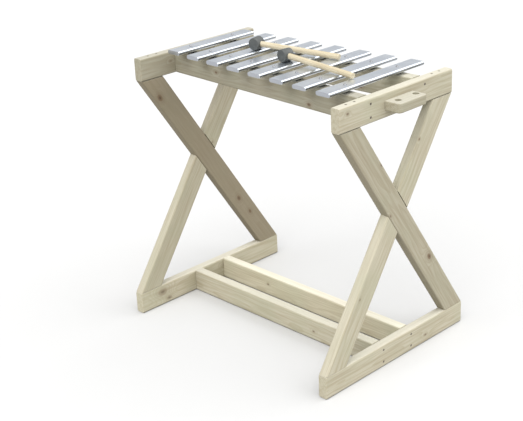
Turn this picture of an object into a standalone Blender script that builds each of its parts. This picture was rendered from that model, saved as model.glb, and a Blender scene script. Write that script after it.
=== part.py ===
"""Outdoor metallophone: eight aluminium tone bars on a free-standing softwood frame.

Two X-legged end frames carry two long rails, which follow the bars' nodal
lines, and two low stretchers tie the frames together.  Every bar rests on two
rubber washers and is held by one screw at each node.  A two-hole block on the
outside of one end rail takes the mallets, which here lie on the bars.

Metres, +Z up.  X runs along the instrument (short bar to long bar), Y across it.
The origin is on the ground, at the middle of the whole object's footprint.
"""

import math

import bmesh
import bpy
from mathutils import Matrix, Vector

# ---------------------------------------------------------------- dimensions
GAP = 0.0003  # between pieces that touch

RAIL_TOP = 0.820  # height of the end rails and the long rails
FRAME_LENGTH = 0.820  # outside to outside of the two end frames
TOP_DEPTH = 0.474  # length of an end frame's top rail
FOOT_DEPTH = 0.614  # length of an end frame's bottom rail
BOARD = 0.070  # width of every timber
FRAME_T = 0.030  # thickness of the end frames' timbers
STRETCHER_T = 0.032
LONG_RAIL_T = 0.038
ARRIS = 0.0050  # rounding of the timbers' long edges
END_ARRIS = 0.0012  # easing of the sawn ends

STRETCHER_FROM_END = 0.228  # foot rail's end to the stretcher's outer face
LONG_RAIL_Y_SHORT = 0.0825  # long rail's centre line at the short-bar end
LONG_RAIL_Y_LONG = 0.1135  # and at the long-bar end

BARS = 8
BAR_W = 0.050
BAR_T = 0.012
BAR_EDGE = 0.0052  # bullnose of the long edges
BAR_PITCH = 0.091
BAR_FIRST_X = -0.3165  # centre of the shortest bar, from the middle of the frame
BAR_SHORT = 0.312
BAR_LONG = 0.394
BAR_Y = -0.004  # middle of the bars
NODE = 0.224  # node's distance from the bar's end, in bar lengths
WASHER_T = 0.008
WASHER_R = 0.011

SCREW_HEAD_R = 0.0045
SCREW_HEAD_H = 0.0028
SCREW_R = 0.0024
SCREW_LENGTH = 0.048
FRAME_SCREW_R = 0.0042  # countersink of the frame's screws

HOLDER_DEPTH = 0.051
HOLDER_Y = (-0.057, 0.061)
HOLDER_Z = (0.771, 0.799)
HOLDER_CORNER = 0.011
HOLDER_HOLES = ((0.024, -0.031), (0.024, 0.0435))  # from the rail's face, and Y
HOLDER_HOLE_R = 0.0095

MALLET_HEAD_R = 0.0185
MALLET_HEAD_L = 0.035
MALLET_HANDLE_R = 0.0085
SOCKET_BEYOND = 0.0085  # blind hole's depth past the head's centre
# head centre and handle's end, from the middle of the frame
MALLETS = {
    "mallet_1": ((0.0345, -0.042), (0.3040, -0.0615)),
    "mallet_2": ((-0.1265, 0.002), (0.1480, 0.0600)),
}

# The footprint includes the holder, so the frame's middle lies behind it in X.
FRAME_X = -HOLDER_DEPTH / 2
BAR_UNDER = RAIL_TOP + WASHER_T
BAR_TOP = BAR_UNDER + BAR_T

# --------------------------------------------------------------------- scene
for old in list(bpy.data.objects):
    bpy.data.objects.remove(old, do_unlink=True)

PARTS = bpy.data.collections.new("metallophone")
CUTTERS = bpy.data.collections.new("cutters")
bpy.context.scene.collection.children.link(PARTS)
bpy.context.scene.collection.children.link(CUTTERS)

ROOT = bpy.data.objects.new("frame_middle", None)
ROOT.empty_display_size = 0.1
ROOT.location = (FRAME_X, 0.0, 0.0)
PARTS.objects.link(ROOT)


def material(name, colour, roughness, metallic=0.0):
    made = bpy.data.materials.new(name)
    made.use_nodes = True
    shader = made.node_tree.nodes["Principled BSDF"]
    shader.inputs["Base Color"].default_value = (*colour, 1.0)
    shader.inputs["Roughness"].default_value = roughness
    shader.inputs["Metallic"].default_value = metallic
    return made


SOFTWOOD = material("treated_softwood", (0.52, 0.47, 0.34), 0.75)
ALUMINIUM = material("aluminium", (0.78, 0.80, 0.84), 0.35, 1.0)
RUBBER = material("black_rubber", (0.03, 0.03, 0.03), 0.8)
HEAD_RUBBER = material("mallet_rubber", (0.06, 0.065, 0.065), 0.6)
DOWEL = material("pale_dowel", (0.80, 0.70, 0.47), 0.55)
STEEL = material("stainless_steel", (0.55, 0.55, 0.56), 0.35, 1.0)


# ------------------------------------------------------------------- helpers
def as_object(name, bm, made_of, location=(0, 0, 0), rotation=(0, 0, 0), parent=None):
    bmesh.ops.recalc_face_normals(bm, faces=bm.faces)
    mesh = bpy.data.meshes.new(name)
    bm.to_mesh(mesh)
    bm.free()
    mesh.materials.append(made_of)
    mesh.shade_smooth()
    mesh.set_sharp_from_angle(angle=math.radians(40))
    obj = bpy.data.objects.new(name, mesh)
    obj.location = location
    obj.rotation_euler = rotation
    obj.parent = parent or ROOT
    PARTS.objects.link(obj)
    return obj


def cutter_for(obj, bm, name):
    """Takes the shape in bm, in the object's own frame, out of the object."""
    bmesh.ops.recalc_face_normals(bm, faces=bm.faces)
    mesh = bpy.data.meshes.new(name)
    bm.to_mesh(mesh)
    bm.free()
    cutter = bpy.data.objects.new(name, mesh)
    cutter.parent = obj.parent
    cutter.location = obj.location
    cutter.rotation_euler = obj.rotation_euler
    cutter.hide_render = True
    cutter.display_type = "WIRE"
    CUTTERS.objects.link(cutter)
    cut = obj.modifiers.new(name, "BOOLEAN")
    cut.operation = "DIFFERENCE"
    cut.solver = "EXACT"
    cut.object = cutter
    return cutter


def box(size, centre=(0, 0, 0)):
    bm = bmesh.new()
    bmesh.ops.create_cube(bm, size=1.0)
    bmesh.ops.scale(bm, vec=size, verts=bm.verts)
    bmesh.ops.translate(bm, vec=centre, verts=bm.verts)
    return bm


def edges_along(bm, axis):
    return [
        edge
        for edge in bm.edges
        if abs((edge.verts[1].co - edge.verts[0].co).normalized()[axis]) > 0.999
    ]


def planed(size, along, segments=3, ends=END_ARRIS, arris=ARRIS):
    """A planed timber: long edges rounded, sawn ends slightly eased."""
    bm = box(size)
    bmesh.ops.bevel(
        bm, geom=edges_along(bm, along), offset=arris, offset_type="OFFSET",
        segments=segments, profile=0.5, affect="EDGES",
    )
    if ends:
        half = size[along] / 2 - 1e-6
        rims = [e for e in bm.edges if all(abs(v.co[along]) > half for v in e.verts)]
        bmesh.ops.bevel(
            bm, geom=rims, offset=ends, offset_type="OFFSET",
            segments=1, profile=0.5, affect="EDGES",
        )
    return bm


def saw(bm, point, normal):
    """Saws off what lies beyond the plane and closes the cut."""
    everything = bm.verts[:] + bm.edges[:] + bm.faces[:]
    cut = bmesh.ops.bisect_plane(
        bm, geom=everything, plane_co=point, plane_no=normal, clear_outer=True
    )
    rim = [g for g in cut["geom_cut"] if isinstance(g, bmesh.types.BMEdge)]
    bmesh.ops.edgeloop_fill(bm, edges=rim)


def drill(bm, centre, radius, depth, out, segments=12, countersink=None):
    """Adds a drill's shape to bm: its mouth at centre, running against `out`.

    It starts a little outside the surface. A countersink widens the mouth.
    """
    out = Vector(out).normalized()
    turn = Vector((0, 0, 1)).rotation_difference(out).to_matrix().to_4x4()
    over = 0.003

    def cone(low, high, r_low, r_high):
        place = Matrix.Translation(Vector(centre)) @ turn
        place = place @ Matrix.Translation((0, 0, (low + high) / 2))
        bmesh.ops.create_cone(
            bm, cap_ends=True, cap_tris=False, segments=segments,
            radius1=r_low, radius2=r_high, depth=high - low, matrix=place,
        )

    if countersink:
        slope = over * (countersink - radius) / (countersink * 0.7)
        cone(-countersink * 0.7, over, radius, countersink + slope)
    else:
        cone(-depth, over, radius, radius)


def turned(name, profile, steps, made_of, location, rotation=(0, 0, 0), parent=None, closed=False):
    """A turned piece: the profile of (radius, height) pairs runs down the outside."""
    bm = bmesh.new()
    points = [bm.verts.new((r, 0.0, z)) for r, z in profile]
    for a, b in zip(points, points[1:]):
        bm.edges.new((a, b))
    if closed:
        bm.edges.new((points[-1], points[0]))
    mesh = bpy.data.meshes.new(name)
    bm.to_mesh(mesh)
    bm.free()
    mesh.materials.append(made_of)
    obj = bpy.data.objects.new(name, mesh)
    obj.location = location
    obj.rotation_euler = rotation
    obj.parent = parent or ROOT
    PARTS.objects.link(obj)
    spin = obj.modifiers.new("turning", "SCREW")
    spin.axis = "Z"
    spin.angle = math.tau
    spin.steps = steps
    spin.render_steps = steps
    spin.use_merge_vertices = True
    spin.merge_threshold = 0.00001
    spin.use_smooth_shade = True
    return obj


# ---------------------------------------------------------------- end frames
LEG_LOW = BOARD
LEG_HIGH = RAIL_TOP - BOARD


def leg_lean():
    """Angle from vertical at which a leg's corners meet the rails' corners."""
    lean = 0.6
    for _ in range(40):
        across = BOARD / math.cos(lean)
        run = FOOT_DEPTH / 2 - across + TOP_DEPTH / 2
        lean = math.atan2(run, LEG_HIGH - LEG_LOW)
    return lean


LEAN = leg_lean()
LEG_ACROSS = BOARD / math.cos(LEAN)
# A leg's centre line at half height lies off the frame's middle, because the foot is longer.
LEG_MID_Y = (FOOT_DEPTH - TOP_DEPTH) / 4
LEG_MID_Z = (LEG_LOW + LEG_HIGH) / 2

Y_FOOT_SCREWS = FOOT_DEPTH / 2 - STRETCHER_FROM_END - STRETCHER_T / 2


def end_frame(side, name):
    """One end frame. side is +1 at the long-bar end and -1 at the short-bar end."""
    x = side * (FRAME_LENGTH - FRAME_T) / 2
    outer = side * FRAME_T / 2  # of the outer face, from the board's middle

    top = as_object(
        f"{name}_top_rail", planed((FRAME_T, TOP_DEPTH, BOARD), 1), SOFTWOOD,
        location=(x, 0, RAIL_TOP - BOARD / 2),
    )
    foot = as_object(
        f"{name}_foot_rail", planed((FRAME_T, FOOT_DEPTH, BOARD), 1), SOFTWOOD,
        location=(x, 0, BOARD / 2),
    )

    # Countersunk screw holes: into the long rails, the stretchers and the legs.
    sinks = bmesh.new()
    for front in (-1, 1):
        for z in (-0.0185, 0.0185):
            drill(sinks, (outer, front * LONG_RAIL_Y_LONG if side > 0 else front * LONG_RAIL_Y_SHORT, z),
                  0.0018, 0, (side, 0, 0), countersink=FRAME_SCREW_R)
        for y in (0.1620, 0.1950):
            drill(sinks, (0, front * y, BOARD / 2), 0.0018, 0, (0, 0, 1), countersink=FRAME_SCREW_R)
    cutter_for(top, sinks, f"{name}_top_countersinks")
    sinks = bmesh.new()
    for front in (-1, 1):
        for z in (-0.0190, 0.0190):
            drill(sinks, (outer, front * Y_FOOT_SCREWS, z), 0.0018, 0, (side, 0, 0), countersink=FRAME_SCREW_R)
    cutter_for(foot, sinks, f"{name}_foot_countersinks")

    # Legs: A runs from the top's front to the foot's back, B the other way.
    # They are halved together, and in both frames A is unbroken on the +X side.
    for letter, direction in (("a", 1), ("b", -1)):
        bm = planed((FRAME_T, BOARD, 1.3), 2, ends=0)
        place = Matrix.Translation((0, direction * LEG_MID_Y, 0)) @ Matrix.Rotation(direction * LEAN, 4, "X")
        bmesh.ops.transform(bm, matrix=place, verts=bm.verts)
        half = (LEG_HIGH - LEG_LOW) / 2 - GAP
        saw(bm, (0, 0, half), (0, 0, 1))
        saw(bm, (0, 0, -half), (0, 0, -1))
        leg = as_object(f"{name}_leg_{letter}", bm, SOFTWOOD, location=(x, 0, LEG_MID_Z))

        other = -direction
        away = -1 if letter == "a" else 1  # the side the housing is cut from
        deep = FRAME_T / 2 + GAP / 2 + 0.004
        housing = box((deep, BOARD + 2 * GAP, 0.30), (away * (deep / 2 - GAP / 2), 0, 0))
        crossing_z = LEG_MID_Y / math.tan(LEAN)
        place = (
            Matrix.Translation((0, other * LEG_MID_Y, 0))
            @ Matrix.Rotation(other * LEAN, 4, "X")
            @ Matrix.Translation((0, 0, crossing_z / math.cos(LEAN)))
        )
        bmesh.ops.transform(housing, matrix=place, verts=housing.verts)
        cutter_for(leg, housing, f"{name}_leg_{letter}_housing")


end_frame(1, "right")
end_frame(-1, "left")

# ------------------------------------------------ long rails and stretchers
INNER = FRAME_LENGTH / 2 - FRAME_T
SKEW = math.atan2(LONG_RAIL_Y_LONG - LONG_RAIL_Y_SHORT, 2 * INNER)


def bar_x(i):
    return BAR_FIRST_X + i * BAR_PITCH


def bar_length(i):
    return BAR_SHORT + (BAR_LONG - BAR_SHORT) * i / (BARS - 1)


def node_y(i, side):
    return BAR_Y + side * (0.5 - NODE) * bar_length(i)


for side, name in ((-1, "front"), (1, "back")):
    # Long rail, in line with the bars' nodes, its ends sawn to meet the end rails.
    middle = side * (LONG_RAIL_Y_SHORT + LONG_RAIL_Y_LONG) / 2
    bm = planed((2 * INNER + 0.10, LONG_RAIL_T, BOARD), 0, ends=0)
    bmesh.ops.rotate(bm, cent=(0, 0, 0), matrix=Matrix.Rotation(side * SKEW, 3, "Z"), verts=bm.verts)
    saw(bm, (INNER - GAP, 0, 0), (1, 0, 0))
    saw(bm, (GAP - INNER, 0, 0), (-1, 0, 0))
    rail = as_object(f"{name}_long_rail", bm, SOFTWOOD, location=(0, middle, RAIL_TOP - BOARD / 2))
    pilots = bmesh.new()
    for i in range(BARS):
        drill(pilots, (bar_x(i), node_y(i, side) - middle, BOARD / 2),
              SCREW_R + GAP, SCREW_LENGTH - BAR_T - WASHER_T + 0.003, (0, 0, 1))
    cutter_for(rail, pilots, f"{name}_long_rail_pilots")

    # Stretcher between the foot rails, on the ground line.
    as_object(
        f"{name}_stretcher", planed((2 * (INNER - GAP), STRETCHER_T, BOARD), 0), SOFTWOOD,
        location=(0, side * Y_FOOT_SCREWS, BOARD / 2),
    )

# ----------------------------------------------------------------- tone bars
HEAD_PROFILE = [
    (0.0, SCREW_HEAD_H - 0.0012),
    (0.0015, SCREW_HEAD_H - 0.0012),
    (0.0017, SCREW_HEAD_H),
    (0.0032, SCREW_HEAD_H - 0.0005),
    (SCREW_HEAD_R, SCREW_HEAD_H - 0.0020),
    (SCREW_HEAD_R, 0.0),
    (SCREW_R, 0.0),
    (SCREW_R, 0.004 - SCREW_LENGTH),
    (0.0, -SCREW_LENGTH),
]
WASHER_PROFILE = [
    (SCREW_R + 0.0006, WASHER_T - 2 * GAP),
    (WASHER_R, WASHER_T - 2 * GAP),
    (WASHER_R, 0.0),
    (SCREW_R + 0.0006, 0.0),
]

for i in range(BARS):
    length = bar_length(i)
    bm = planed((BAR_W, length, BAR_T), 1, segments=4, ends=0.0007, arris=BAR_EDGE)
    bar = as_object(f"tone_bar_{i + 1}", bm, ALUMINIUM, location=(bar_x(i), BAR_Y, BAR_UNDER + BAR_T / 2))
    holes = bmesh.new()
    for side in (-1, 1):
        drill(holes, (0, node_y(i, side) - BAR_Y, BAR_T / 2), SCREW_R + 0.0008, BAR_T + 0.003, (0, 0, 1))
    cutter_for(bar, holes, f"tone_bar_{i + 1}_holes")
    for side, where in ((-1, "front"), (1, "back")):
        x, y = bar_x(i), node_y(i, side)
        turned(f"washer_{where}_{i + 1}", WASHER_PROFILE, 16, RUBBER, (x, y, RAIL_TOP + GAP), closed=True)
        turned(f"bar_screw_{where}_{i + 1}", HEAD_PROFILE, 12, STEEL, (x, y, BAR_TOP + GAP))

# ------------------------------------------------------------- mallet holder
bm = box((HOLDER_DEPTH - GAP, HOLDER_Y[1] - HOLDER_Y[0], HOLDER_Z[1] - HOLDER_Z[0]))
corners = [e for e in edges_along(bm, 2) if e.verts[0].co.x > 0]
bmesh.ops.bevel(bm, geom=corners, offset=HOLDER_CORNER, offset_type="OFFSET", segments=5, profile=0.5, affect="EDGES")
half = (HOLDER_Z[1] - HOLDER_Z[0]) / 2 - 1e-6
at_rail = 1e-6 - (HOLDER_DEPTH - GAP) / 2
rims = [
    e for e in bm.edges
    if abs(e.verts[0].co.z + e.verts[1].co.z) > 2 * half and not all(v.co.x < at_rail for v in e.verts)
]
bmesh.ops.bevel(bm, geom=rims, offset=0.0030, offset_type="OFFSET", segments=2, profile=0.5, affect="EDGES")
holder_middle = (
    FRAME_LENGTH / 2 + (HOLDER_DEPTH + GAP) / 2,
    (HOLDER_Y[0] + HOLDER_Y[1]) / 2,
    (HOLDER_Z[0] + HOLDER_Z[1]) / 2,
)
holder = as_object("mallet_holder", bm, SOFTWOOD, location=holder_middle)
holes = bmesh.new()
for out, y in HOLDER_HOLES:
    centre = (FRAME_LENGTH / 2 + out - holder_middle[0], y - holder_middle[1], (HOLDER_Z[1] - HOLDER_Z[0]) / 2)
    drill(holes, centre, HOLDER_HOLE_R, 0.035, (0, 0, 1), segments=20)
cutter_for(holder, holes, "mallet_holder_holes")

# ------------------------------------------------------------------- mallets
R, L = MALLET_HEAD_R, MALLET_HEAD_L / 2
EDGE = 0.0028
ROUND = [(1 - math.cos(t), 1 - math.sin(t)) for t in (0.0, math.radians(30), math.radians(60))]
HEAD = [(0.0, L)]
HEAD += [(R - EDGE + EDGE * math.sin(t), L - EDGE + EDGE * math.cos(t)) for t in (0.0, math.pi / 6, math.pi / 3, math.pi / 2)]
HEAD += [(r, -z) for r, z in reversed(HEAD[1:])] + [(0.0, -L)]

for name, (head, tip) in MALLETS.items():
    head_at = Vector((*head, BAR_TOP + GAP + MALLET_HEAD_R))
    tip_at = Vector((*tip, BAR_TOP + GAP + MALLET_HANDLE_R))
    reach = (tip_at - head_at).length
    along = (tip_at - head_at).normalized()
    across = Vector((0, 0, 1)).cross(along).normalized()
    upward = along.cross(across)
    # The mallet's own frame: X along the handle, Y along the head, at the head's centre.
    seat = bpy.data.objects.new(f"{name}_place", None)
    seat.empty_display_size = 0.03
    turn = Matrix((along, across, upward)).transposed()
    seat.rotation_euler = turn.to_euler()
    seat.location = head_at
    seat.parent = ROOT
    PARTS.objects.link(seat)

    rubber = turned(
        f"{name}_head", HEAD, 28, HEAD_RUBBER, (0, 0, 0), rotation=(math.pi / 2, 0, 0), parent=seat
    )
    socket = bmesh.new()
    drill(socket, (0.024, 0, 0), MALLET_HANDLE_R + GAP, 0.024 + SOCKET_BEYOND, (1, 0, 0), segments=20)
    cutter_for(rubber, socket, f"{name}_socket")

    low = GAP - SOCKET_BEYOND
    bm = bmesh.new()
    bmesh.ops.create_cone(
        bm, cap_ends=True, cap_tris=False, segments=20, radius1=MALLET_HANDLE_R, radius2=MALLET_HANDLE_R,
        depth=reach - low,
        matrix=Matrix.Translation(((reach + low) / 2, 0, 0)) @ Matrix.Rotation(math.pi / 2, 4, "Y"),
    )
    rims = [e for e in bm.edges if all(abs(v.co.x - reach) < 1e-6 for v in e.verts)]
    bmesh.ops.bevel(bm, geom=rims, offset=0.0016, offset_type="OFFSET", segments=2, profile=0.5, affect="EDGES")
    as_object(f"{name}_handle", bm, DOWEL, parent=seat)
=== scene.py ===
"""The looks of the outdoor metallophone: treated softwood, aluminium, rubber, dowel and steel."""
import math

import bmesh
import bpy
from mathutils import Matrix, Vector


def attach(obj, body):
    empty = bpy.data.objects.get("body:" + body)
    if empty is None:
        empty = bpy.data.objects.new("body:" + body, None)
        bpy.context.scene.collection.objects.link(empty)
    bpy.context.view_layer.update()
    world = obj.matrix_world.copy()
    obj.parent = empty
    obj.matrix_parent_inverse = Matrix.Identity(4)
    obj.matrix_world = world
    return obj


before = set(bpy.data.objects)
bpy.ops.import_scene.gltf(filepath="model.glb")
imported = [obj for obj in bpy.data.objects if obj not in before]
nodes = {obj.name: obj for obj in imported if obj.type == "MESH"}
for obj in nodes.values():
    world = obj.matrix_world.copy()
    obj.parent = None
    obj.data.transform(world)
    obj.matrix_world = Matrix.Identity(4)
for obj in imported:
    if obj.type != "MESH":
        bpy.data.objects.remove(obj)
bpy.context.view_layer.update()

X0 = -0.0255  # middle of the frame, from the middle of the footprint
RAIL_TOP = 0.820
BOARD = 0.070
T = 0.030
HALF = 0.410
LEAN_RUN = None

# ------------------------------------------------------------------ camera
AZ, EL, ROLL = math.radians(46.0708), math.radians(22.4625), math.radians(-2.5244)
back = Vector((math.sin(AZ) * math.cos(EL), -math.cos(AZ) * math.cos(EL), math.sin(EL)))
right = (-back).cross(Vector((0, 0, 1))).normalized()
up = right.cross(-back)
r2 = right * math.cos(ROLL) + up * math.sin(ROLL)
u2 = -right * math.sin(ROLL) + up * math.cos(ROLL)
cam_data = bpy.data.cameras.new("camera")
cam = bpy.data.objects.new("camera", cam_data)
bpy.context.scene.collection.objects.link(cam)
turn = Matrix((r2, u2, back)).transposed().to_4x4()
cam.matrix_world = Matrix.Translation((2.33372 + X0, -2.37818, 1.74039)) @ turn
cam_data.sensor_width = 36.0
cam_data.lens = 1188.097 / 523 * 36.0
cam_data.clip_start, cam_data.clip_end = 0.05, 60.0
bpy.context.scene.camera = cam
bpy.context.scene.view_settings.view_transform = "Standard"


# ------------------------------------------------------------ node helpers
class Graph:
    """Short names for building a material's nodes."""

    def __init__(self, name):
        self.mat = bpy.data.materials.new(name)
        self.mat.use_nodes = True
        self.t = self.mat.node_tree
        self.bsdf = self.t.nodes["Principled BSDF"]

    def new(self, kind, **values):
        n = self.t.nodes.new(kind)
        for k, v in values.items():
            setattr(n, k, v)
        return n

    def put(self, socket, value):
        if isinstance(value, (int, float, tuple, list, Vector)):
            socket.default_value = value
        else:
            self.t.links.new(value, socket)

    def math(self, op, a, b=0.0, c=0.0, clamp=False):
        n = self.new("ShaderNodeMath", operation=op, use_clamp=clamp)
        for s, v in zip(n.inputs, (a, b, c)):
            self.put(s, v)
        return n.outputs[0]

    def vec(self, op, a, b=(0, 0, 0), scale=None):
        n = self.new("ShaderNodeVectorMath", operation=op)
        self.put(n.inputs[0], a)
        self.put(n.inputs[1], b)
        if scale is not None:
            self.put(n.inputs["Scale"], scale)
        return n.outputs["Value"] if op in ("LENGTH", "DOT_PRODUCT", "DISTANCE") else n.outputs[0]

    def combine(self, x, y, z):
        n = self.new("ShaderNodeCombineXYZ")
        for s, v in zip(n.inputs, (x, y, z)):
            self.put(s, v)
        return n.outputs[0]

    def split(self, v):
        n = self.new("ShaderNodeSeparateXYZ")
        self.put(n.inputs[0], v)
        return n.outputs

    def noise(self, vector, scale=1.0, detail=2.0, rough=0.5, distort=0.0):
        n = self.new("ShaderNodeTexNoise")
        self.put(n.inputs["Vector"], vector)
        n.inputs["Scale"].default_value = scale
        n.inputs["Detail"].default_value = detail
        n.inputs["Roughness"].default_value = rough
        n.inputs["Distortion"].default_value = distort
        return n.outputs["Fac"]

    def ramp(self, fac, stops, interpolation="LINEAR"):
        n = self.new("ShaderNodeValToRGB")
        n.color_ramp.interpolation = interpolation
        e = n.color_ramp.elements
        while len(e) < len(stops):
            e.new(0.5)
        for el, (pos, col) in zip(e, stops):
            el.position = pos
            el.color = (*col, 1.0) if len(col) == 3 else col
        self.put(n.inputs[0], fac)
        return n.outputs["Color"]

    def span(self, v, a, b, lo=0.0, hi=1.0, smooth=True):
        n = self.new("ShaderNodeMapRange", interpolation_type="SMOOTHSTEP" if smooth else "LINEAR")
        self.put(n.inputs["Value"], v)
        n.inputs["From Min"].default_value = a
        n.inputs["From Max"].default_value = b
        n.inputs["To Min"].default_value = lo
        n.inputs["To Max"].default_value = hi
        return n.outputs["Result"]

    def mix(self, fac, a, b, blend="MIX"):
        n = self.new("ShaderNodeMix", data_type="RGBA", blend_type=blend)
        self.put(n.inputs[0], fac)
        for s, v in ((n.inputs[6], a), (n.inputs[7], b)):
            self.put(s, (*v, 1.0) if isinstance(v, tuple) and len(v) == 3 else v)
        return n.outputs[2]

    def bump(self, height, distance, strength=1.0, normal=None):
        n = self.new("ShaderNodeBump")
        n.inputs["Distance"].default_value = distance
        n.inputs["Strength"].default_value = strength
        self.put(n.inputs["Height"], height)
        if normal is not None:
            self.put(n.inputs["Normal"], normal)
        return n.outputs[0]

    def place(self):
        return self.new("ShaderNodeTexCoord").outputs["Object"]


# -------------------------------------------------------------------- wood
def softwood(name, origin, along, wide, seed, pith=(0.012, -0.055), tint=1.0, dark=0.0, knots=(), warm=0.0):
    """Solid softwood: growth rings round a pith line beside the board, so faces and sawn ends agree.

    The board's own frame: x along the grain, y across the wide face, z through
    the thickness, from the board's middle. Knots are (x, y, radius, darkness).
    """
    g = Graph(name)
    ax = Vector(along).normalized()
    ay = Vector(wide).normalized()
    az = ax.cross(ay)
    p = g.vec("SUBTRACT", g.place(), tuple(origin))
    x = g.vec("DOT_PRODUCT", p, tuple(ax))
    y = g.vec("DOT_PRODUCT", p, tuple(ay))
    z = g.vec("DOT_PRODUCT", p, tuple(az))
    s = seed * 7.31

    # slow wander of the grain along the board
    slow = g.combine(g.math("MULTIPLY_ADD", x, 2.2, s), g.math("MULTIPLY", y, 9.0), g.math("MULTIPLY", z, 9.0))
    wander = g.math("SUBTRACT", g.noise(slow, 1.0, 2.0, 0.5), 0.5)
    wander2 = g.math("SUBTRACT", g.noise(g.vec("ADD", slow, (31.7, 8.2, 3.3)), 2.3, 2.0, 0.5), 0.5)
    # knots push the rings aside
    push = 0.0
    mask = 0.0
    core = 0.0
    for kx, ky, kr, kd in knots:
        dx = g.math("MULTIPLY", g.math("SUBTRACT", x, kx), 0.62)
        dy = g.math("SUBTRACT", y, ky)
        d = g.math("SQRT", g.math("ADD", g.math("MULTIPLY", dx, dx), g.math("MULTIPLY", dy, dy)))
        fall = g.span(d, kr * 0.6, kr * 4.2, 1.0, 0.0)
        push = g.math("MULTIPLY_ADD", g.math("MULTIPLY", fall, fall), kr * 1.5, push)
        wob = g.math("MULTIPLY_ADD", wander2, kr * 0.7, d)
        mask = g.math("MAXIMUM", mask, g.math("MULTIPLY", g.span(wob, kr * 0.62, kr * 1.15, 1.0, 0.0), kd))
        core = g.math("MAXIMUM", core, g.math("MULTIPLY", g.span(wob, kr * 0.15, kr * 0.55, 1.0, 0.0), kd))
        mask = g.math("MAXIMUM", mask, g.math("MULTIPLY", g.span(wob, kr * 1.0, kr * 2.3, 1.0, 0.0), kd * 0.28))
    yy = g.math("ADD", g.math("MULTIPLY_ADD", wander, 0.030, y), -pith[0])
    zz = g.math("ADD", g.math("MULTIPLY_ADD", wander2, 0.018, z), -pith[1])
    r = g.math("SQRT", g.math("ADD", g.math("MULTIPLY", yy, yy), g.math("MULTIPLY", zz, zz)))
    r = g.math("ADD", r, push)
    ring = g.math("FRACT", g.math("MULTIPLY_ADD", r, 1.0 / 0.0046, s))
    late = g.ramp(ring, [(0.0, (0, 0, 0)), (0.45, (0.12,) * 3), (0.80, (0.75,) * 3), (0.90, (1, 1, 1)), (0.985, (0.15,) * 3), (1.0, (0, 0, 0))])
    # fine fibres along the grain
    fibre_at = g.combine(g.math("MULTIPLY_ADD", x, 14.0, s), g.math("MULTIPLY", y, 620.0), g.math("MULTIPLY", z, 620.0))
    fibre = g.noise(fibre_at, 1.0, 3.0, 0.6)
    streak_at = g.combine(g.math("MULTIPLY_ADD", x, 5.0, s + 5), g.math("MULTIPLY", y, 120.0), g.math("MULTIPLY", z, 120.0))
    streak = g.noise(streak_at, 1.0, 3.0, 0.55)
    cloud = g.noise(g.vec("ADD", g.vec("SCALE", p, scale=1.0), (s, s * 0.3, 1.7)), 7.0, 3.0, 0.55)

    light = (0.470 * tint, 0.438 * tint, 0.338 * tint)
    mid = (0.375 * tint, 0.335 * tint, 0.236 * tint)
    brown = (0.330 * tint, 0.262 * tint, 0.165 * tint)
    col = g.mix(g.math("MULTIPLY", late, 0.85), light, mid)
    col = g.mix(g.span(streak, 0.40, 0.70, 0.0, 0.60), col, (0.320 * tint, 0.275 * tint, 0.185 * tint))
    col = g.mix(g.span(cloud, 0.35, 0.70, 0.0, 0.40), col, (0.370 * tint, 0.375 * tint, 0.265 * tint))
    col = g.mix(g.span(fibre, 0.30, 0.80, 0.0, 0.24), col, (0.22 * tint, 0.185 * tint, 0.12 * tint))
    if warm:
        col = g.mix(warm, col, brown)
    if dark:
        col = g.mix(dark, col, (0.20, 0.165, 0.108))
    # painted light: faces turned to the sky are painted lighter as a painted highlight, and faces turned down are
    # painted darker as painted shade
    nz = g.split(g.new("ShaderNodeNewGeometry").outputs["Normal"])[2]
    col = g.mix(g.span(nz, 0.35, 0.95, 0.0, 0.42), col, (0.58 * tint, 0.565 * tint, 0.505 * tint))
    col = g.mix(g.span(nz, -0.10, -0.55, 0.0, 0.50), col, (0.165, 0.140, 0.090))
    if knots:
        col = g.mix(g.math("MULTIPLY", mask, 0.85, clamp=True), col, (0.150, 0.095, 0.052))
        col = g.mix(g.math("MULTIPLY", core, 0.8, clamp=True), col, (0.070, 0.046, 0.030))
    g.put(g.bsdf.inputs["Base Color"], col)
    rough = g.math("MULTIPLY_ADD", late, -0.08, 0.74)
    g.put(g.bsdf.inputs["Roughness"], rough)
    g.bsdf.inputs["Specular IOR Level"].default_value = 0.32
    relief = g.math("MULTIPLY_ADD", late, 0.35, g.math("MULTIPLY", fibre, 0.65))
    g.put(g.bsdf.inputs["Normal"], g.bump(relief, 0.0004, 0.55))
    return g.mat


def give(node, mat):
    o = nodes[node]
    o.data.materials.clear()
    o.data.materials.append(mat)


# Leg geometry, as the frame has it.
TOP_DEPTH, FOOT_DEPTH = 0.474, 0.614
lean = 0.6
for _ in range(40):
    lean = math.atan2(FOOT_DEPTH / 2 - BOARD / math.cos(lean) + TOP_DEPTH / 2, RAIL_TOP - 2 * BOARD)
leg_mid_y = (FOOT_DEPTH - TOP_DEPTH) / 4
mid_z = RAIL_TOP / 2


def leg_place(side, direction):
    origin = (X0 + side * 0.395, direction * leg_mid_y, mid_z)
    along = (0, -direction * math.sin(lean), math.cos(lean))
    wide = (0, math.cos(lean), direction * math.sin(lean))
    return origin, along, wide


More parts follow.
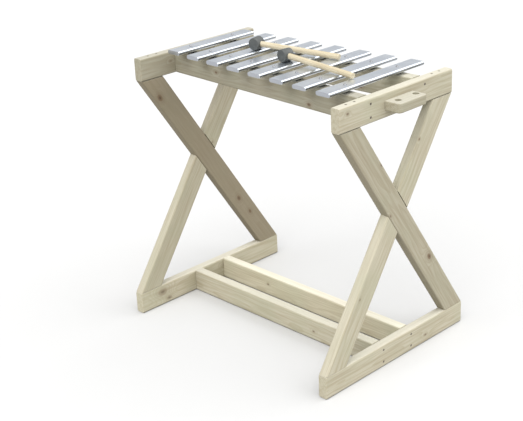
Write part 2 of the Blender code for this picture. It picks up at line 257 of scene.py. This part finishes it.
xr, xl = X0 + 0.395, X0 - 0.395
give("right_top_rail", softwood("wood_right_top", (xr, 0, 0.785), (0, 1, 0), (0, 0, 1), 1, knots=((-0.205, 0.015, 0.0045, 0.8),), pith=(0.02, 0.06)))
give("right_foot_rail", softwood("wood_right_foot", (xr, 0, 0.035), (0, 1, 0), (0, 0, 1), 2, pith=(-0.01, 0.05), tint=1.04, knots=((0.13, -0.01, 0.004, 0.6),)))
# The left top rail's lower tint and its dark mix are painted shade from the bars above it.
give("left_top_rail", softwood("wood_left_top", (xl, 0, 0.785), (0, 1, 0), (0, 0, 1), 3, pith=(0.0, -0.06), tint=0.78, dark=0.06, knots=((-0.12, 0.005, 0.004, 0.4),)))
give("left_foot_rail", softwood("wood_left_foot", (xl, 0, 0.035), (0, 1, 0), (0, 0, 1), 4, pith=(0.01, -0.05), tint=1.10, warm=0.05, knots=((-0.222, 0.010, 0.013, 0.55), (-0.196, -0.020, 0.008, 0.5), (0.05, 0.01, 0.006, 0.4))))
give("right_leg_a", softwood("wood_right_leg_a", *leg_place(1, 1), 5, pith=(0.015, 0.06), tint=0.86, warm=0.12, knots=((0.235, 0.030, 0.0035, 0.7), (-0.171, 0.016, 0.009, 0.95), (0.08, -0.028, 0.004, 0.6))))
give("right_leg_b", softwood("wood_right_leg_b", *leg_place(1, -1), 6, pith=(-0.02, 0.05), tint=1.02, knots=((0.2706, -0.030, 0.0030, 0.85), (-0.202, -0.0195, 0.0030, 0.6))))
give("left_leg_a", softwood("wood_left_leg_a", *leg_place(-1, 1), 7, pith=(0.0, -0.05), tint=0.70, warm=0.60, knots=((0.344, -0.0177, 0.0090, 0.95), (-0.179, -0.0017, 0.0080, 0.9), (-0.2577, 0.003, 0.0065, 0.9))))
give("left_leg_b", softwood("wood_left_leg_b", *leg_place(-1, -1), 8, pith=(0.02, -0.055), tint=0.98, warm=0.10, knots=((0.10, 0.01, 0.005, 0.4),)))
skew = math.atan2(0.1135 - 0.0825, 0.76)
# The front long rail's lower tint (0.70 against 0.95 at the back) is partly its own darker wood and partly painted
# shade from the bars that overhang it.
for side, name, seed in ((-1, "front", 9), (1, "back", 10)):
    give(f"{name}_long_rail", softwood(f"wood_{name}_long_rail", (X0, side * 0.098, 0.785), (math.cos(skew), side * math.sin(skew), 0), (0, 0, 1), seed,
                                       pith=(0.01, 0.055 * side), tint=0.70 if side < 0 else 0.95, knots=((-0.188, -0.0006, 0.0045, 0.9), (0.200, -0.0209, 0.0055, 0.9))))
    give(f"{name}_stretcher", softwood(f"wood_{name}_stretcher", (X0, side * 0.063, 0.035), (1, 0, 0), (0, 0, 1), seed + 2, pith=(-0.02, 0.05 * side), tint=1.04 if side < 0 else 1.30, knots=((0.150, -0.006, 0.004, 0.7),) if side < 0 else ((-0.168, 0.004, 0.004, 0.7),)))
give("mallet_holder", softwood("wood_holder", (X0 + 0.4355, 0.002, 0.785), (0, 1, 0), (1, 0, 0), 13, pith=(0.03, -0.05), tint=0.84))


# ---------------------------------------------------------------- aluminium
def aluminium(name, x, seed):
    g = Graph(name)
    p = g.vec("SUBTRACT", g.place(), (x, 0.0, 0.0))
    px, py, pz = g.split(p)
    fine = g.noise(g.combine(g.math("MULTIPLY_ADD", px, 900.0, seed * 3.1), g.math("MULTIPLY", py, 26.0), g.math("MULTIPLY", pz, 900.0)), 1.0, 3.0, 0.6)
    patch = g.noise(g.vec("ADD", p, (seed * 1.7, 0.0, 0.0)), 22.0, 3.0, 0.55)
    col = g.mix(g.span(patch, 0.3, 0.7), (0.700, 0.760, 0.845), (0.790, 0.840, 0.905))
    col = g.mix(g.span(fine, 0.35, 0.75, 0.0, 0.40), col, (0.90, 0.92, 0.94))
    nx, ny, nz = g.split(g.new("ShaderNodeNewGeometry").outputs["Normal"])
    # Painted shade: the long sides are painted dark, standing in for the dark reflection below the edge highlight; the
    # end faces are made darker too.
    side = g.span(g.math("ABSOLUTE", nx), 0.80, 0.97)
    end = g.span(g.math("ABSOLUTE", ny), 0.55, 0.85)
    col = g.mix(g.math("MULTIPLY", side, 0.75), col, (0.200, 0.205, 0.205))
    col = g.mix(g.math("MULTIPLY", end, 0.55), col, (0.190, 0.185, 0.200))
    g.put(g.bsdf.inputs["Base Color"], col)
    g.bsdf.inputs["Metallic"].default_value = 1.0
    g.put(g.bsdf.inputs["Roughness"], g.math("MULTIPLY_ADD", patch, 0.12, 0.26))
    g.put(g.bsdf.inputs["Normal"], g.bump(fine, 0.00008, 0.35))
    return g.mat


for i in range(8):
    give(f"tone_bar_{i + 1}", aluminium(f"aluminium_{i + 1}", X0 - 0.3165 + 0.091 * i, i + 1))


# ------------------------------------------------------- rubber, dowel, steel
def rubber(name, base, lift, rough):
    g = Graph(name)
    n = g.noise(g.place(), 260.0, 4.0, 0.6)
    n2 = g.noise(g.place(), 45.0, 3.0, 0.5)
    col = g.mix(g.span(n2, 0.35, 0.7), base, lift)
    g.put(g.bsdf.inputs["Base Color"], col)
    g.put(g.bsdf.inputs["Roughness"], g.math("MULTIPLY_ADD", n, 0.15, rough))
    g.put(g.bsdf.inputs["Normal"], g.bump(n, 0.0003, 0.4))
    return g.mat


WASHER = rubber("washer_rubber", (0.022, 0.022, 0.022), (0.035, 0.035, 0.034), 0.70)
HEAD = rubber("mallet_rubber", (0.055, 0.060, 0.058), (0.085, 0.090, 0.088), 0.40)


def dowel(name, origin, along, seed):
    g = Graph(name)
    a = Vector(along).normalized()
    b = a.cross(Vector((0, 0, 1))).normalized()
    c = a.cross(b)
    p = g.vec("SUBTRACT", g.place(), tuple(origin))
    u, v, w = (g.vec("DOT_PRODUCT", p, tuple(q)) for q in (a, b, c))
    grain = g.noise(g.combine(g.math("MULTIPLY_ADD", u, 9.0, seed), g.math("MULTIPLY", v, 420.0), g.math("MULTIPLY", w, 420.0)), 1.0, 3.0, 0.6)
    broad = g.noise(g.combine(g.math("MULTIPLY_ADD", u, 4.0, seed + 9), g.math("MULTIPLY", v, 60.0), g.math("MULTIPLY", w, 60.0)), 1.0, 2.0, 0.5)
    col = g.mix(g.span(grain, 0.3, 0.75), (0.52, 0.465, 0.330), (0.40, 0.320, 0.195))
    col = g.mix(g.span(broad, 0.35, 0.75, 0.0, 0.5), col, (0.56, 0.51, 0.39))
    g.put(g.bsdf.inputs["Base Color"], col)
    g.put(g.bsdf.inputs["Roughness"], g.math("MULTIPLY_ADD", grain, 0.15, 0.42))
    g.put(g.bsdf.inputs["Normal"], g.bump(grain, 0.00015, 0.4))
    return g.mat


def steel(name, low=(0.26, 0.26, 0.27), high=(0.42, 0.42, 0.43)):
    g = Graph(name)
    n = g.noise(g.place(), 900.0, 3.0, 0.6)
    g.put(g.bsdf.inputs["Base Color"], g.mix(n, low, high))
    g.bsdf.inputs["Metallic"].default_value = 1.0
    g.put(g.bsdf.inputs["Roughness"], g.math("MULTIPLY_ADD", n, 0.2, 0.42))
    return g.mat


STEEL = steel("stainless_steel")
DULL = steel("weathered_steel", (0.13, 0.115, 0.10), (0.24, 0.21, 0.18))
for where in ("front", "back"):
    for i in range(1, 9):
        give(f"washer_{where}_{i}", WASHER)
        give(f"bar_screw_{where}_{i}", STEEL)
MALLETS = {"mallet_1": ((0.0345, -0.042), (0.3040, -0.0615)), "mallet_2": ((-0.1265, 0.002), (0.1480, 0.0600))}
for k, (name, (h, e)) in enumerate(MALLETS.items()):
    give(f"{name}_head", HEAD)
    h3, e3 = Vector((h[0] + X0, h[1], 0.8588)), Vector((e[0] + X0, e[1], 0.8488))
    give(f"{name}_handle", dowel(f"dowel_{k + 1}", h3, e3 - h3, 3.0 + 5 * k))


# -------------------------------------------------- the frame's own screws
def frame_screw(name, at, out):
    """A countersunk head just below the surface, with a cross recess."""
    bm = bmesh.new()
    profile = [(0.0, -0.0017), (0.0010, -0.0016), (0.0015, -0.0005), (0.0036, -0.0005), (0.0016, -0.0026), (0.0, -0.0026)]
    rings = []
    for r, z in profile:
        if r == 0.0:
            rings.append([bm.verts.new((0, 0, z))])
        else:
            n = 20
            cross = 0.45 if r < 0.0016 and z > -0.0020 else 0.0
            rings.append([bm.verts.new((r * (1 - cross * (0.5 - 0.5 * math.cos(4 * t))) * math.cos(t), r * (1 - cross * (0.5 - 0.5 * math.cos(4 * t))) * math.sin(t), z)) for t in (math.tau * k / n for k in range(n))])
    for a, b in zip(rings, rings[1:]):
        n = max(len(a), len(b))
        for k in range(n):
            q = [a[k % len(a)], b[k % len(b)], b[(k + 1) % len(b)], a[(k + 1) % len(a)]]
            q = list(dict.fromkeys(q))
            bm.faces.new(q)
    bmesh.ops.recalc_face_normals(bm, faces=bm.faces)
    rot = Vector((0, 0, 1)).rotation_difference(Vector(out)).to_matrix().to_4x4()
    bmesh.ops.transform(bm, matrix=Matrix.Translation(at) @ rot, verts=bm.verts)
    mesh = bpy.data.meshes.new(name)
    bm.to_mesh(mesh)
    bm.free()
    mesh.materials.append(DULL)
    mesh.shade_smooth()
    mesh.set_sharp_from_angle(angle=math.radians(35))
    o = bpy.data.objects.new(name, mesh)
    bpy.context.scene.collection.objects.link(o)
    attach(o, "frame")


for side, end, rail_y in ((1, "right", 0.1135), (-1, "left", 0.0825)):
    xo = X0 + side * HALF
    xm = X0 + side * 0.395
    for f, w in ((-1, "front"), (1, "back")):
        for k, dz in enumerate((-0.0185, 0.0185)):
            frame_screw(f"{end}_{w}_rail_screw_{k + 1}", (xo, f * rail_y, 0.785 + dz), (side, 0, 0))
        for k, y in enumerate((0.1620, 0.1950)):
            frame_screw(f"{end}_{w}_leg_screw_{k + 1}", (xm, f * y, RAIL_TOP), (0, 0, 1))
        for k, dz in enumerate((-0.0190, 0.0190)):
            frame_screw(f"{end}_{w}_stretcher_screw_{k + 1}", (xo, f * 0.063, 0.035 + dz), (side, 0, 0))


# ------------------------------------------------------------ floor and light
def flat(name, colour, rough):
    m = bpy.data.materials.new(name)
    m.use_nodes = True
    b = m.node_tree.nodes["Principled BSDF"]
    b.inputs["Base Color"].default_value = (*colour, 1)
    b.inputs["Roughness"].default_value = rough
    b.inputs["Specular IOR Level"].default_value = 0.0
    return m


bm = bmesh.new()
bmesh.ops.create_circle(bm, cap_ends=True, segments=96, radius=30.0)
mesh = bpy.data.meshes.new("floor")
bm.to_mesh(mesh)
bm.free()
floor = bpy.data.objects.new("floor", mesh)
bpy.context.scene.collection.objects.link(floor)
mesh.materials.append(flat("floor_white", (0.53, 0.53, 0.528), 0.9))
floor.location = (0, 0, -0.0008)

world = bpy.data.worlds.new("studio")
bpy.context.scene.world = world
world.use_nodes = True
bg = world.node_tree.nodes["Background"]
bg.inputs["Color"].default_value = (1.0, 1.0, 1.0, 1)
bg.inputs["Strength"].default_value = 0.64


def soft_sun(name, towards, strength, spread):
    """Even light from one side of the sky, the same everywhere on the floor."""
    d = bpy.data.lights.new(name, "SUN")
    d.energy = strength
    d.angle = math.radians(spread)
    o = bpy.data.objects.new(name, d)
    bpy.context.scene.collection.objects.link(o)
    o.rotation_mode = "QUATERNION"
    o.rotation_quaternion = Vector(towards).to_track_quat("Z", "Y")
    return o


soft_sun("back_right", (0.38, 0.45, 0.80), 2.5, 80)
soft_sun("front_top", (0.22, -0.60, 0.77), 2.9, 60)
